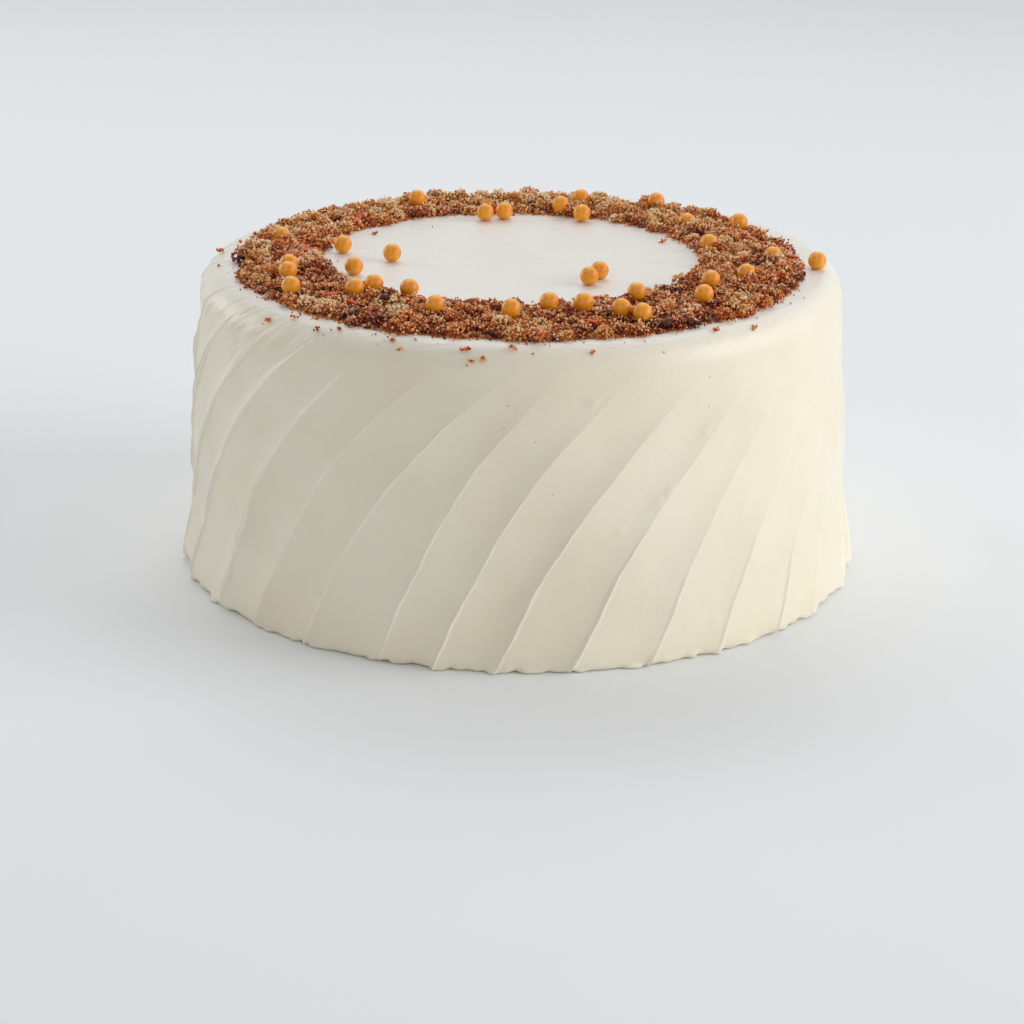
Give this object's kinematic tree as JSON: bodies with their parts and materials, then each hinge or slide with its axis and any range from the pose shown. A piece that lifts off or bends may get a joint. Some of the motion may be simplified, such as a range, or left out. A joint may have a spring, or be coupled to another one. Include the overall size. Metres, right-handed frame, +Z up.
{
  "type": "carrot cake",
  "caption": "Whole round carrot cake in pale frosting with slanted palette-knife strokes, a ring of cake crumbs on top and scattered sugar pearls.",
  "frame": {"origin": "middle of the flat underside, on the surface that the cake stands on", "axes": "+Z up, the pictured front faces -Y, +X to the right"},
  "size_m": [0.2174, 0.2136, 0.1068],
  "materials": {
    "frosting": "smooth spread cream-cheese frosting, soft satin, off-white",
    "crumbs": "toasted cake crumb with sugar grains, dry and rough, light tan to dark brown",
    "pearls": "sugar pearls with a satin orange-gold coat"
  },
  "bodies": {
    "root": {"frosted_cake": "frosting", "crumb_ring": "crumbs", "pearl_01": "pearls", "pearl_02": "pearls", "pearl_03": "pearls", "pearl_04": "pearls", "pearl_05": "pearls", "pearl_06": "pearls", "pearl_07": "pearls", "pearl_08": "pearls", "pearl_09": "pearls", "pearl_10": "pearls", "pearl_11": "pearls", "pearl_12": "pearls", "pearl_13": "pearls", "pearl_14": "pearls", "pearl_15": "pearls", "pearl_16": "pearls", "pearl_17": "pearls", "pearl_18": "pearls", "pearl_19": "pearls", "pearl_20": "pearls", "pearl_21": "pearls", "pearl_22": "pearls", "pearl_23": "pearls", "pearl_24": "pearls", "pearl_25": "pearls", "pearl_26": "pearls", "pearl_27": "pearls", "pearl_28": "pearls", "pearl_29": "pearls", "pearl_30": "pearls", "pearl_31": "pearls", "pearl_32": "pearls", "pearl_33": "pearls", "pearl_34": "pearls"}
  },
  "joints": []
}
